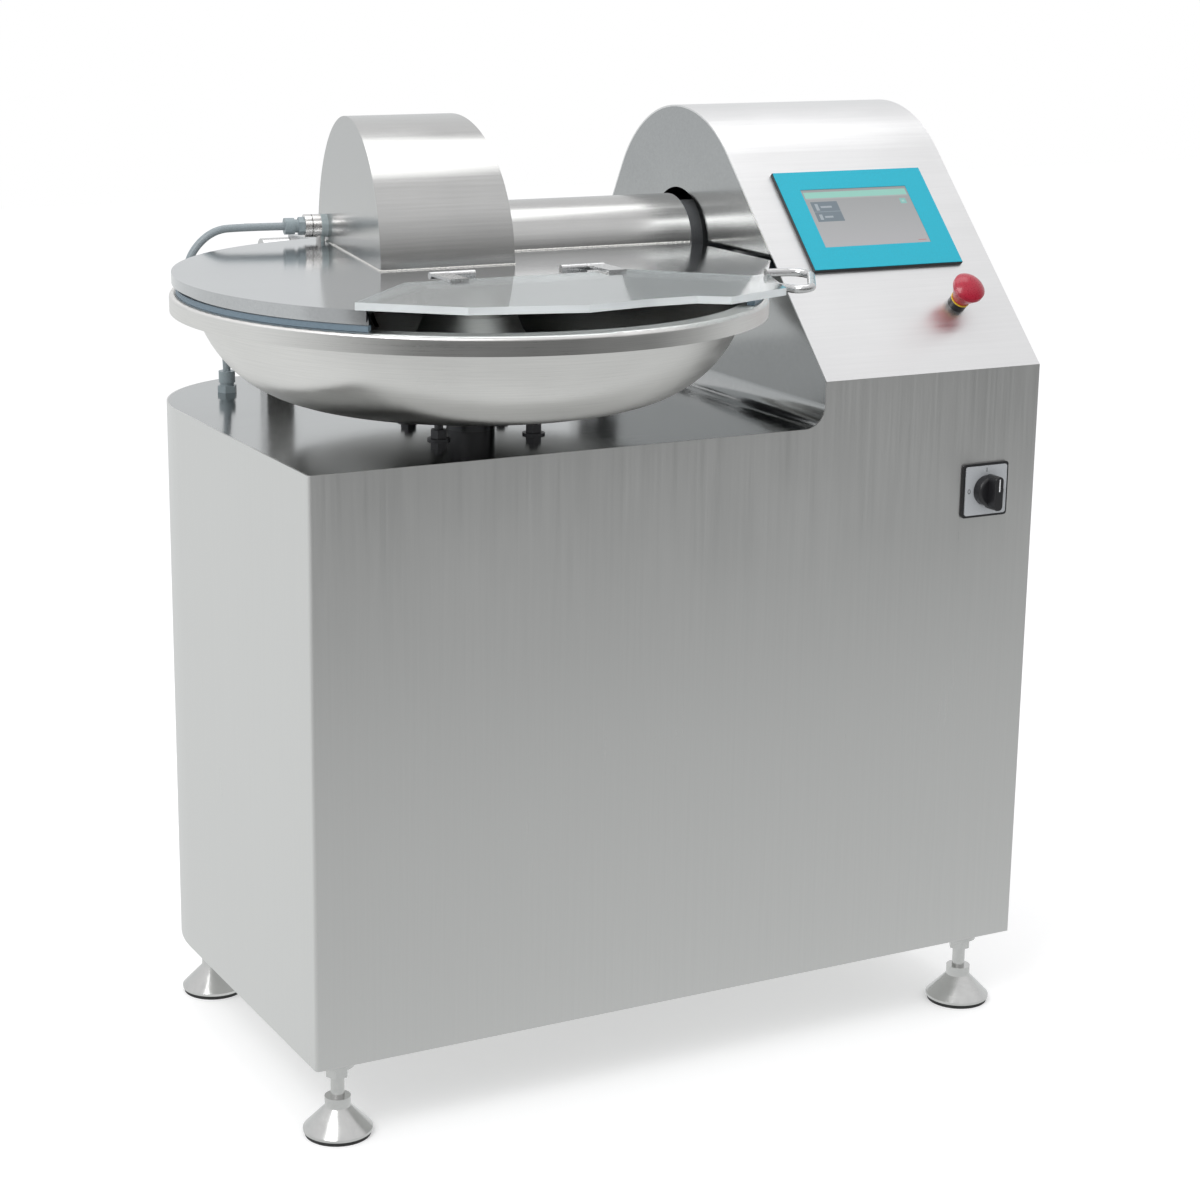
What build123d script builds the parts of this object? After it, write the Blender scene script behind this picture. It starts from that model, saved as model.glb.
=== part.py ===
"""Meat bowl cutter: a stainless cabinet that carries a turning bowl, a knife shaft with three sickle
knives, a lid with a knife hood that tips back on a rear hinge, a clear feed flap and an operator console.

Places are first written from the cabinet's left wall (x), its front panel (y) and the floor (z). The
finished pieces are then moved so that the origin lies on the floor under the middle of the machine.
"""
from build123d import *
import math
import os

os.makedirs("parts", exist_ok=True)

# ---- Cabinet ----
sheet = 2.0                  # stainless sheet of every panel
clearance = 0.3              # gap between pieces that move past each other
cabinet_width = 950.0
cabinet_depth = 600.0
underside = 100.0            # floor to the bottom of the cabinet
deck_top = 778.0             # floor to the deck under the bowl
brow_front = 832.0           # floor to the foot of the console's sloping front
brow_back = 860.0            # floor to the foot of the console's sloping back
corner_radius = 190.0        # rounded corner behind the bowl
fold_radius = 5.0            # bend between the front panel and the left side
console_left = 644.0
console_bend = 27.0          # bend where the deck turns up into the console's side
crown_radius = 166.0         # round top of the console
crown_y = 354.0
crown_z = 956.0
back_seam = 230.0            # where the wrapped sheet ends on the back and the service panel begins

# ---- Frame and feet ----
tube = 40.0                  # square tube of the inner frame
foot_inset = 43.0            # centre of a front foot from the front and from the side
rear_foot_y = 496.0
rear_foot_shift = 18.0       # the rear left foot stands further in, clear of the round corner
plate_thickness = 12.0       # machine plate under the deck
pad_radius = 38.0
pad_thickness = 5.0
cone_radius = 40.0
cone_top = 46.0
spindle_radius = 8.0
nut_width = 24.0
nut_height = 13.0
boss_radius = 20.0
boss_height = 16.0

# ---- Bowl ----
bowl_x = 270.0
bowl_y = 170.0
rim_radius = 338.0
rim_top = 937.0
rim_lip = 20.5               # height of the turned-down edge
bowl_wall = 3.5
trough_radius = 136.0        # outside of the round trough
trough_ring = 178.0          # middle of the trough from the bowl's axis
trough_z = 953.0
dome_top = 934.0             # raised middle of the bowl
dome_radius = 44.0

# ---- Bowl drive ----
spindle_shaft = 17.5         # bowl spindle radius
column_radius = 28.0
column_top = 888.0
flange_radius = 95.0
flange_thickness = 9.0
flange_bolts_ring = 80.0
bolt_radius = 5.0
pulley_radius = 90.0
pulley_height = 24.0
pulley_z = 690.0
gearbox_x = 500.0
small_pulley_radius = 32.0
bearing_width = 16.0

# ---- Knife shaft ----
shaft_y = 352.0
shaft_z = 957.0
shaft_radius = 18.0
shaft_end = 902.0
knife_plane = 266.0
knife_radius = 113.0
knife_bay = 131.0            # half length of the lid plate's opening over the knives
knife_hub = 34.0
knife_thickness = 5.0
knife_pitch = 18.0
nose_radius = 48.0
nose_start = 586.0
bracket_back = 862.0
knife_pulley_radius = 55.0
belt_thickness = 8.0
knife_pulley_x = 882.0
pulley_width = 34.0
motor_z = 430.0
motor_pulley_radius = 62.0
motor_radius = 100.0

# ---- Lid ----
lid_top = 960.0
lid_plate_thickness = 4.0
lid_radius = 335.0
lid_right = 630.0
skirt_radius = 328.0
skirt_bottom = 943.5
seal_bottom = 937.3
hood_radius = 162.0
hood_left = 168.0            # left wall of the hood at its front corner
hood_right = 336.0
hood_skew = 10.2             # degrees that the left wall is turned from square
cover_radius = 57.0          # half tube over the shaft
cheek_hole = 64.4            # hole in the console's side round the half tube
opening_from = -134.0        # degrees, left end of the feed opening round the bowl's axis
opening_to = -45.0
hinge_y = 566.0
hinge_z = 942.0
hinge_pin_radius = 6.0
hinge_eye = 12.0

# ---- Feed flap ----
flap_thickness = 8.0
flap_outline = [(27, -66), (132, 46), (360, 46), (402, 54), (508, -49), (532, -43),
                (492, -146), (403, -180), (373, -160), (312, -161), (240, -173), (118, -142)]
flap_hinge_y = 84.0
flap_hinges = [190.0, 383.0]
handle_radius = 4.5

# ---- Controls ----
screen_x = 797.5             # middle of the touch screen
screen_rise = 227.0          # middle of the touch screen, up the slope from its foot
bezel_width = 214.0
bezel_height = 147.0
bezel_thickness = 0.8
glass_width = 153.0
glass_height = 87.0
stop_x = 870.5
stop_rise = 95.0
stop_radius = 20.0
stop_collar = 11.5
stop_height = 10.0
stop_travel = 4.5
switch_x = 876.0
switch_z = 684.0
switch_width = 66.0

# ---- Sensor and cable ----
sensor_y = 468.0
sensor_z = 979.0
sensor_radius = 14.0
sensor_length = 28.0
gland_radius = 10.5
gland_length = 24.0
cable_radius = 4.5
cable_tail = 48.4            # first stretch of the cable, which rises with the lid
deck_gland_x = 97.0
deck_gland_y = 497.5
deck_gland_top = 804.0

middle_x = (bowl_x - rim_radius + cabinet_width) / 2
flap_front = min(y for x, y in flap_outline)
middle_y = (flap_front + cabinet_depth) / 2


# ---- Helpers ----
def block(x0, x1, y0, y1, z0, z1):
    """A block between two opposite corners."""
    middle = Pos((x0 + x1) / 2, (y0 + y1) / 2, (z0 + z1) / 2)
    return middle * Box(x1 - x0, y1 - y0, z1 - z0)


def post(x, y, z0, z1, radius):
    """An upright round bar."""
    return Pos(x, y, (z0 + z1) / 2) * Cylinder(radius, z1 - z0)


def bar(x0, x1, y, z, radius):
    """A round bar along X."""
    return Pos((x0 + x1) / 2, y, z) * Rot(0, 90, 0) * Cylinder(radius, x1 - x0)


def hexagon(x, y, z0, z1, width):
    """An upright hexagonal prism, measured across its flats."""
    return Pos(x, y, z0) * extrude(RegularPolygon(width / 2, 6, major_radius=False), z1 - z0)


def save(name, *pieces):
    """Write one node, moved to the machine's origin."""
    shape = pieces[0] if len(pieces) == 1 else Compound(children=list(pieces))
    export_step(Pos(-middle_x, -middle_y, 0) * shape, f"parts/{name}.step")


# ---- Console outline, seen from the side ----
def touch_point(y, z, side):
    """Where a line from (y, z) touches the console's round top: side 1 is the front, -1 the back."""
    distance = math.hypot(crown_y - y, crown_z - z)
    bearing = math.atan2(crown_z - z, crown_y - y)
    direction = bearing + side * math.asin(crown_radius / distance)
    reach = math.sqrt(distance**2 - crown_radius**2)
    return y + reach * math.cos(direction), z + reach * math.sin(direction)


front_touch = touch_point(0, brow_front, 1)
back_touch = touch_point(cabinet_depth, brow_back, -1)
slope_angle = math.degrees(math.atan2(front_touch[1] - brow_front, front_touch[0]))


def side_outline():
    """The machine's whole side: straight walls, sloping console front, round top, sloping back."""
    crown = (crown_y, crown_z + crown_radius)
    edges = [
        Line((0, underside), (0, brow_front)),
        Line((0, brow_front), front_touch),
        ThreePointArc(front_touch, crown, back_touch),
        Line(back_touch, (cabinet_depth, brow_back)),
        Line((cabinet_depth, brow_back), (cabinet_depth, underside)),
        Line((cabinet_depth, underside), (0, underside)),
    ]
    return make_face(edges)


outer_side = side_outline()
inner_side = offset(outer_side, -sheet, kind=Kind.INTERSECTION)


def along_x(face, x0, x1):
    """A side outline carried from x0 to x1."""
    return Pos(x0, 0, 0) * extrude(Plane.YZ * face, x1 - x0)


def deck_section(inset):
    """The space under the deck and the console's left side, seen from the front, shrunk by inset."""
    left, top = console_left + inset, deck_top - inset
    bend_x, bend_z = console_left - console_bend, deck_top + console_bend
    reach = console_bend + inset
    middle = (bend_x + reach * math.sin(math.pi / 4), bend_z - reach * math.cos(math.pi / 4))
    ceiling = crown_z + crown_radius
    edges = [
        Line((0, underside), (0, top)),
        Line((0, top), (bend_x, top)),
        ThreePointArc((bend_x, top), middle, (left, bend_z)),
        Line((left, bend_z), (left, ceiling)),
        Line((left, ceiling), (cabinet_width, ceiling)),
        Line((cabinet_width, ceiling), (cabinet_width, underside)),
        Line((cabinet_width, underside), (0, underside)),
    ]
    return Pos(0, cabinet_depth, 0) * extrude(Plane.XZ * make_face(edges), cabinet_depth)


def cabinet_plan(inset):
    """The cabinet's plan: a folded front left corner and a round rear left corner."""
    left, back = inset, cabinet_depth - inset
    fold, corner = fold_radius - inset, corner_radius - inset
    cx, cy = corner_radius, cabinet_depth - corner_radius
    diagonal = math.sqrt(0.5)
    fold_middle = fold_radius - fold * diagonal
    edges = [
        Line((cabinet_width, inset), (fold_radius, inset)),
        ThreePointArc((fold_radius, inset), (fold_middle, fold_middle), (left, fold_radius)),
        Line((left, fold_radius), (left, cy)),
        ThreePointArc((left, cy), (cx - corner * diagonal, cy + corner * diagonal), (cx, back)),
        Line((cx, back), (cabinet_width, back)),
        Line((cabinet_width, back), (cabinet_width, inset)),
    ]
    return make_face(edges)


def upright(face, z0, z1):
    """A plan carried from z0 to z1."""
    return Pos(0, 0, z0) * extrude(face, z1 - z0)


# ---- Cabinet panels ----
top_of_all = crown_z + crown_radius
wrap = upright(cabinet_plan(0) - cabinet_plan(sheet), underside, brow_front)
wrap = wrap & deck_section(0) & along_x(outer_side, 0, cabinet_width)
wrap -= block(back_seam, cabinet_width, cabinet_depth - 3 * sheet, cabinet_depth, underside, top_of_all)
switch_neck = 9.0
wrap -= Pos(switch_x, 0, switch_z) * Rot(90, 0, 0) * Cylinder(switch_neck + clearance, 6 * sheet)
save("cabinet_wrap", wrap)

service_panel = block(back_seam, cabinet_width, cabinet_depth - sheet, cabinet_depth, underside, brow_back)
service_panel = service_panel & deck_section(0)
louvre_width, louvre_height, louvre_pitch = 120.0, 6.0, 22.0
for column in range(2):
    for row in range(6):
        louvre_x = 560.0 + 180.0 * column
        louvre_z = 260.0 + louvre_pitch * row
        service_panel -= block(louvre_x, louvre_x + louvre_width, cabinet_depth - 2 * sheet,
                               cabinet_depth + sheet, louvre_z, louvre_z + louvre_height)
save("service_panel", service_panel)

right_panel = along_x(inner_side, cabinet_width - sheet, cabinet_width)
save("right_panel", right_panel)

skin = along_x(outer_side - inner_side, console_left, cabinet_width)
skin -= block(0, cabinet_width, -sheet, cabinet_depth / 2, 0, brow_front)
skin -= block(0, cabinet_width, cabinet_depth / 2, cabinet_depth + sheet, 0, brow_back)

slope = Plane(origin=(console_left, 0, brow_front), x_dir=(1, 0, 0),
              z_dir=(0, -math.sin(math.radians(slope_angle)), math.cos(math.radians(slope_angle))))


def on_slope(x, rise, shape):
    """Stand a shape on the console's sloping front: x along it, rise up it."""
    return slope.location * Pos(x - console_left, rise, 0) * shape


def tile(width, height, z0, z1):
    """A flat block about a point of the slope, from z0 to z1 off its surface."""
    return Pos(0, 0, (z0 + z1) / 2) * Box(width, height, z1 - z0)


def stud(radius, z0, z1):
    """A round bar square to the slope, from z0 to z1 off its surface."""
    return Pos(0, 0, (z0 + z1) / 2) * Cylinder(radius, z1 - z0)


housing_margin = 6.0         # cyan bezel beyond the hole in the skin
housing_depth = 36.0
hole_width = bezel_width - 2 * housing_margin
hole_height = bezel_height - 2 * housing_margin
stop_neck = 9.0
skin -= on_slope(screen_x, screen_rise, tile(hole_width, hole_height, -3 * sheet, sheet))
skin -= on_slope(stop_x, stop_rise, stud(stop_neck + clearance, -3 * sheet, sheet))
save("console_skin", skin)

bolt_places = []
for corner in range(4):
    turn = math.radians(38 + 90 * corner)
    bolt_places.append((bowl_x + flange_bolts_ring * math.cos(turn),
                        bowl_y + flange_bolts_ring * math.sin(turn)))
bend_x, bend_z = console_left - console_bend, deck_top + console_bend
bend_diagonal = math.sqrt(0.5)
console_side = console_left + sheet
deck_strip = make_face([
    Line((sheet, deck_top), (bend_x, deck_top)),
    ThreePointArc((bend_x, deck_top), (bend_x + console_bend * bend_diagonal,
                                       bend_z - console_bend * bend_diagonal), (console_left, bend_z)),
    Line((console_left, bend_z), (console_left, top_of_all + 1)),
    Line((console_left, top_of_all + 1), (console_side, top_of_all + 1)),
    Line((console_side, top_of_all + 1), (console_side, bend_z)),
    ThreePointArc((console_side, bend_z), (bend_x + (console_bend + sheet) * bend_diagonal,
                                           bend_z - (console_bend + sheet) * bend_diagonal),
                  (bend_x, deck_top - sheet)),
    Line((bend_x, deck_top - sheet), (sheet, deck_top - sheet)),
    Line((sheet, deck_top - sheet), (sheet, deck_top)),
])
deck = Pos(0, cabinet_depth - sheet, 0) * extrude(Plane.XZ * deck_strip, cabinet_depth - 2 * sheet)
deck = deck & along_x(inner_side, 0, cabinet_width)
deck = deck & upright(cabinet_plan(sheet), underside, top_of_all + 2)
deck -= bar(console_left - sheet, console_left + 2 * sheet, shaft_y, shaft_z, cheek_hole)
deck -= post(bowl_x, bowl_y, deck_top - 2 * sheet, deck_top + sheet, column_radius + clearance)
deck -= post(deck_gland_x, deck_gland_y, deck_top - 2 * sheet, deck_top + sheet, gland_radius - 2)
for bolt_x, bolt_y in bolt_places:
    deck -= post(bolt_x, bolt_y, deck_top - 2 * sheet, deck_top + sheet, bolt_radius)
save("deck", deck)

bottom_pan = upright(cabinet_plan(sheet), underside, underside + sheet)
bottom_pan -= block(cabinet_width - sheet, cabinet_width, 0, cabinet_depth, 0, deck_top)
feet = [(foot_inset, foot_inset), (cabinet_width - foot_inset, foot_inset),
        (foot_inset + rear_foot_shift, rear_foot_y), (cabinet_width - foot_inset, rear_foot_y)]
for foot_x, foot_y in feet:
    bottom_pan -= post(foot_x, foot_y, 0, deck_top, spindle_radius + clearance)
save("bottom_pan", bottom_pan)

# ---- Inner frame: four posts, base rails and the machine plate ----
frame_bottom = underside + sheet
plate_top = deck_top - sheet
plate_bottom = plate_top - plate_thickness
frame = block(60, cabinet_width - sheet - 18, 18, rear_foot_y + tube / 2, plate_bottom, plate_top)
for foot_x, foot_y in feet:
    frame += block(foot_x - tube / 2, foot_x + tube / 2, foot_y - tube / 2, foot_y + tube / 2,
                   frame_bottom, plate_top)
left_x, right_x = feet[2][0], feet[1][0]
for rail_y in (foot_inset, rear_foot_y):
    frame += block(left_x, right_x, rail_y - tube / 2, rail_y + tube / 2, frame_bottom,
                   frame_bottom + tube)
for rail_x in (left_x, right_x):
    frame += block(rail_x - tube / 2, rail_x + tube / 2, foot_inset, rear_foot_y, frame_bottom,
                   frame_bottom + tube)
frame -= post(bowl_x, bowl_y, plate_bottom - 1, plate_top + 1, column_radius + clearance)
frame -= post(deck_gland_x, deck_gland_y, plate_bottom - 1, plate_top + 1, gland_radius)
for bolt_x, bolt_y in bolt_places:
    frame -= post(bolt_x, bolt_y, plate_bottom - 1, plate_top + 1, bolt_radius)
belt_slot = knife_pulley_radius + belt_thickness + 18
frame -= block(knife_pulley_x - pulley_width, knife_pulley_x + pulley_width, shaft_y - belt_slot,
               shaft_y + belt_slot, plate_bottom - 1, plate_top + 1)
socket_depth = 70.0
for foot_x, foot_y in feet:
    frame -= post(foot_x, foot_y, frame_bottom - 1, frame_bottom + socket_depth,
                  spindle_radius + clearance)
save("inner_frame", frame)

# ---- Levelling feet ----
pads, cones, spindles, nuts = [], [], [], []
cone_section = make_face(Polyline(
    (0, pad_thickness), (cone_radius, pad_thickness), (cone_radius, pad_thickness + 3),
    (15, cone_top - 12), (15, cone_top), (0, cone_top), close=True))
cone = revolve(Plane.XZ * cone_section, Axis.Z)
for foot_x, foot_y in feet:
    pads.append(post(foot_x, foot_y, 0, pad_thickness, pad_radius))
    cones.append(Pos(foot_x, foot_y, 0) * cone)
    spindles.append(post(foot_x, foot_y, cone_top, frame_bottom + socket_depth - 5, spindle_radius))
    bore = post(foot_x, foot_y, 0, deck_top, spindle_radius)
    lock_nut = hexagon(foot_x, foot_y, underside - boss_height - nut_height,
                       underside - boss_height, nut_width)
    nuts.append(lock_nut - bore)
    nuts.append(post(foot_x, foot_y, underside - boss_height, underside, boss_radius) - bore)
save("foot_pads", *pads)
save("foot_cones", *cones)
save("foot_spindles", *spindles)
save("foot_nuts", *nuts)


# ---- Bowl ----
def trough_point(radius, height):
    """The trough's point at that height on its outer side, as (distance from the axis, height)."""
    return trough_ring + math.sqrt(radius**2 - (height - trough_z)**2), height


inner_trough = trough_radius - bowl_wall
shoulder = dome_radius + 6
dome_low = rim_top - 26
flange_in = trough_point(inner_trough, rim_top - bowl_wall - 4)
flange_out = trough_point(trough_radius, rim_top - bowl_wall - 4)


def trough_inner_side(radius, height):
    """The trough's point at that height on the side of the dome."""
    return trough_ring - math.sqrt(radius**2 - (height - trough_z)**2), height


inside_low = trough_inner_side(inner_trough, dome_low)
outside_low = trough_inner_side(trough_radius, dome_low)
bowl_edges = [
    Line((0, dome_top), (dome_radius - 8, dome_top)),
    Line((dome_radius - 8, dome_top), inside_low),
    ThreePointArc(inside_low, (trough_ring, trough_z - inner_trough), flange_in),
    Line(flange_in, (flange_in[0] + 4, rim_top)),
    Line((flange_in[0] + 4, rim_top), (rim_radius - 5, rim_top)),
    ThreePointArc((rim_radius - 5, rim_top), (rim_radius - 1.46, rim_top - 1.46),
                  (rim_radius, rim_top - 5)),
    Line((rim_radius, rim_top - 5), (rim_radius, rim_top - rim_lip)),
    Line((rim_radius, rim_top - rim_lip), (rim_radius - bowl_wall, rim_top - rim_lip)),
    Line((rim_radius - bowl_wall, rim_top - rim_lip), (rim_radius - bowl_wall, rim_top - bowl_wall)),
    Line((rim_radius - bowl_wall, rim_top - bowl_wall), (flange_out[0] + 4, rim_top - bowl_wall)),
    Line((flange_out[0] + 4, rim_top - bowl_wall), flange_out),
    ThreePointArc(flange_out, (trough_ring, trough_z - trough_radius), outside_low),
    Line(outside_low, (dome_radius - 8 - bowl_wall / 2, dome_top - bowl_wall)),
    Line((dome_radius - 8 - bowl_wall / 2, dome_top - bowl_wall), (0, dome_top - bowl_wall)),
    Line((0, dome_top - bowl_wall), (0, dome_top)),
]
bowl = revolve(Plane.XZ * make_face(bowl_edges), Axis.Z)
bowl_screw_ring = 22.0
bowl_screws = []
for corner in range(4):
    turn = math.radians(45 + 90 * corner)
    screw_x, screw_y = bowl_screw_ring * math.cos(turn), bowl_screw_ring * math.sin(turn)
    bowl -= post(screw_x, screw_y, dome_top - 2 * bowl_wall, dome_top + 1, 4)
    head = post(screw_x, screw_y, dome_top, dome_top + 6, 6.5)
    head -= hexagon(screw_x, screw_y, dome_top + 3, dome_top + 7, 6)
    shank = post(screw_x, screw_y, dome_top - bowl_wall - 12, dome_top, 4)
    bowl_screws.append(Pos(bowl_x, bowl_y, 0) * (head + shank))
save("bowl", Pos(bowl_x, bowl_y, 0) * bowl)
save("bowl_screws", *bowl_screws)

spindle_flange = 34.0
flange_top = dome_top - bowl_wall
spindle = post(0, 0, pulley_z - 30, flange_top - 14, spindle_shaft)
spindle += post(0, 0, flange_top - 14, flange_top, spindle_flange)
for corner in range(4):
    turn = math.radians(45 + 90 * corner)
    spindle -= post(bowl_screw_ring * math.cos(turn), bowl_screw_ring * math.sin(turn),
                    flange_top - 15, flange_top + 1, 4)
save("bowl_spindle", Pos(bowl_x, bowl_y, 0) * spindle)

flange_bottom = plate_bottom - flange_thickness
column = post(0, 0, plate_bottom - 20, column_top, column_radius)
column += post(0, 0, flange_bottom, plate_bottom, flange_radius)
bearing_radius = 25.0
column -= post(0, 0, plate_bottom - 21, column_top + 1, bearing_radius - 3)
column -= post(0, 0, column_top - bearing_width, column_top + 1, bearing_radius)
column -= post(0, 0, plate_bottom - 21, plate_bottom - 20 + bearing_width, bearing_radius)
column_bolts = []
for bolt_x, bolt_y in bolt_places:
    column -= post(bolt_x - bowl_x, bolt_y - bowl_y, flange_bottom - 1, plate_bottom + 1, bolt_radius)
    bolt = post(bolt_x, bolt_y, flange_bottom, deck_top + 17, bolt_radius)
    bolt += post(bolt_x, bolt_y, deck_top, deck_top + 2, 13)
    bolt += hexagon(bolt_x, bolt_y, deck_top + 2, deck_top + 12, 17)
    column_bolts.append(bolt)
save("bowl_column", Pos(bowl_x, bowl_y, 0) * column)
save("column_bolts", *column_bolts)
bowl_bearings = []
for bearing_z in (plate_bottom - 20, column_top - bearing_width):
    ring = post(bowl_x, bowl_y, bearing_z, bearing_z + bearing_width, bearing_radius)
    ring -= post(bowl_x, bowl_y, bearing_z - 1, bearing_z + bearing_width + 1, spindle_shaft + 0.05)
    bowl_bearings.append(ring)
save("bowl_bearings", *bowl_bearings)


def pulley(radius, width, bore, rim=3.0):
    """A belt pulley about Z with a raised edge on each side."""
    wheel = Cylinder(radius, width) + Pos(0, 0, width / 2 - 1.5) * Cylinder(radius + rim, 3)
    wheel += Pos(0, 0, 1.5 - width / 2) * Cylinder(radius + rim, 3)
    return wheel - Cylinder(bore, width + 2)


save("bowl_pulley", Pos(bowl_x, bowl_y, pulley_z) * pulley(pulley_radius, pulley_height, spindle_shaft))


def belt_loop(radius_a, radius_b, distance, width):
    """A belt round two pulleys, the second one a distance along local X."""
    def track(grow):
        a, b = radius_a + grow, radius_b + grow
        lean = math.asin((a - b) / distance)
        ends = []
        for side in (1, -1):
            turn = math.pi / 2 - lean
            ends.append((a * math.cos(turn), side * a * math.sin(turn)))
            ends.append((distance + b * math.cos(turn), side * b * math.sin(turn)))
        edges = [
            Line(ends[0], ends[1]),
            ThreePointArc(ends[1], (distance + b, 0), ends[3]),
            Line(ends[3], ends[2]),
            ThreePointArc(ends[2], (-a, 0), ends[0]),
        ]
        return make_face(edges)
    band = track(clearance + belt_thickness / 2) - track(clearance)
    return Pos(0, 0, -width / 2) * extrude(band, width)


bowl_belt = belt_loop(pulley_radius, small_pulley_radius, gearbox_x - bowl_x, pulley_height - 8)
save("bowl_belt", Pos(bowl_x, bowl_y, pulley_z) * bowl_belt)

output_radius = 10.0
gearbox = block(gearbox_x - 60, gearbox_x + 60, bowl_y - 60, bowl_y + 60, 540, 660)
gearbox += post(gearbox_x, bowl_y, 400, 540, 55)
gearbox += post(gearbox_x, bowl_y, 660, 668, 40)
gearbox -= post(gearbox_x, bowl_y, 640, 700, output_radius + clearance)
for side in (-1, 1):
    gearbox += block(gearbox_x + side * 75 - 15, gearbox_x + side * 75 + 15, bowl_y - 40, bowl_y + 40,
                     640, plate_bottom)
save("bowl_gearmotor", gearbox)
drive = Pos(gearbox_x, bowl_y, pulley_z) * pulley(small_pulley_radius, pulley_height, output_radius - 1)
drive += post(gearbox_x, bowl_y, 642, pulley_z + pulley_height / 2, output_radius)
save("bowl_drive_pulley", drive)

# ---- Knife shaft, its bearings and drive ----
nut_start = knife_plane - 1.5 * knife_pitch - knife_pitch / 2
head_back = knife_plane + 1.5 * knife_pitch + knife_pitch / 2
nut_length = 20.0
seat_radius = 14.0
shaft = bar(head_back, shaft_end, shaft_y, shaft_z, shaft_radius)
shaft += bar(nut_start - nut_length + 4, head_back, shaft_y, shaft_z, seat_radius)
save("knife_shaft", shaft)

cap = Pos(nut_start, shaft_y, shaft_z) * Rot(0, -90, 0) * Pos(0, 0, nut_length / 2) * Cylinder(26, nut_length)
cap = chamfer(cap.edges().filter_by(GeomType.CIRCLE).sort_by(Axis.X)[0], 5)
cap -= bar(nut_start - nut_length + 4, nut_start + 1, shaft_y, shaft_z, seat_radius)
for side in (-1, 1):
    cap -= block(nut_start - nut_length - 1, nut_start - nut_length + 9, shaft_y - 30, shaft_y + 30,
                 shaft_z + side * 28 - 8, shaft_z + side * 28 + 8)
save("knife_nut", cap)


def polar(radius, degrees):
    """A point of the knife's face."""
    return radius * math.cos(math.radians(degrees)), radius * math.sin(math.radians(degrees))


def sickle_knife():
    """A sickle knife about its bore: a ring with one curved blade that sweeps back to its tip."""
    edges = [
        ThreePointArc(polar(knife_hub - 2, 175), polar(0.64 * knife_radius, 100), polar(knife_radius, 25)),
        Line(polar(knife_radius, 25), polar(knife_radius - 16, 19)),
        ThreePointArc(polar(knife_radius - 16, 19), polar(0.52 * knife_radius, 52), polar(knife_hub - 2, 40)),
        Line(polar(knife_hub - 2, 40), (0, 0)),
        Line((0, 0), polar(knife_hub - 2, 175)),
    ]
    blade = extrude(make_face(edges), knife_thickness)
    cutting = blade.edges().filter_by(GeomType.CIRCLE).group_by(Axis.Z)[-1].sort_by(SortBy.LENGTH)[-1]
    blade = chamfer(cutting, length=2.5, length2=9)
    blade += Pos(0, 0, knife_thickness / 2) * Cylinder(knife_hub, knife_thickness)
    return blade - Cylinder(seat_radius, 4 * knife_thickness)


knife = sickle_knife()
spacers = []
spacer_width = knife_pitch - knife_thickness
for number in range(3):
    knife_x = knife_plane + (number - 1) * knife_pitch
    pose = Pos(knife_x - knife_thickness / 2, shaft_y, shaft_z) * Rot(0, 90, 0) * Rot(0, 0, 120 * number)
    save(f"knife_{number + 1}", pose * knife)
spacer_starts = [nut_start, knife_plane - knife_pitch + knife_thickness / 2,
                 knife_plane + knife_thickness / 2, knife_plane + knife_pitch + knife_thickness / 2]
spacer_ends = [knife_plane - knife_pitch - knife_thickness / 2, knife_plane - knife_thickness / 2,
               knife_plane + knife_pitch - knife_thickness / 2, head_back]
for start, end in zip(spacer_starts, spacer_ends):
    ring = bar(start, end, shaft_y, shaft_z, knife_hub - 4)
    spacers.append(ring - bar(start - 1, end + 1, shaft_y, shaft_z, seat_radius))
save("knife_spacers", *spacers)

bearing_seat = 36.0
bracket_front = console_left + sheet + 14
bracket = bar(nose_start, bracket_back, shaft_y, shaft_z, nose_radius)
bracket += block(bracket_front, bracket_back, shaft_y - 110, shaft_y + 110, plate_top, plate_top + 20)
bracket += block(bracket_front, bracket_back, shaft_y - 38, shaft_y + 38, plate_top, shaft_z)
bracket -= bar(nose_start - 1, bracket_back + 1, shaft_y, shaft_z, bearing_seat - 6)
seat_starts = [nose_start, bracket_back - 2 * bearing_width]
for start in seat_starts:
    bracket -= bar(start, start + 2 * bearing_width, shaft_y, shaft_z, bearing_seat)
save("shaft_bracket", bracket)
knife_bearings = []
for start in seat_starts:
    ring = bar(start, start + 2 * bearing_width, shaft_y, shaft_z, bearing_seat)
    ring -= bar(start - 1, start + 2 * bearing_width + 1, shaft_y, shaft_z, shaft_radius + 0.05)
    knife_bearings.append(ring)
save("knife_bearings", *knife_bearings)

to_x = Rot(0, 90, 0)
knife_pulley = pulley(knife_pulley_radius, pulley_width, shaft_radius)
save("knife_pulley", Pos(knife_pulley_x, shaft_y, shaft_z) * to_x * knife_pulley)
motor_shaft = 14.0
motor_pulley = pulley(motor_pulley_radius, pulley_width, motor_shaft)
motor_face = knife_pulley_x - pulley_width / 2 - 14
motor_back = motor_face - 260
drive = Pos(knife_pulley_x, shaft_y, motor_z) * to_x * motor_pulley
drive += bar(motor_face - 20, knife_pulley_x + pulley_width / 2, shaft_y, motor_z, motor_shaft)
save("motor_pulley", drive)
long_belt = belt_loop(knife_pulley_radius, motor_pulley_radius, shaft_z - motor_z, 10)
belts = []
for offset_x in (-8, 8):
    pose = Pos(knife_pulley_x + offset_x, shaft_y, shaft_z) * to_x
    belts.append(pose * long_belt)
save("knife_belts", *belts)

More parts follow.
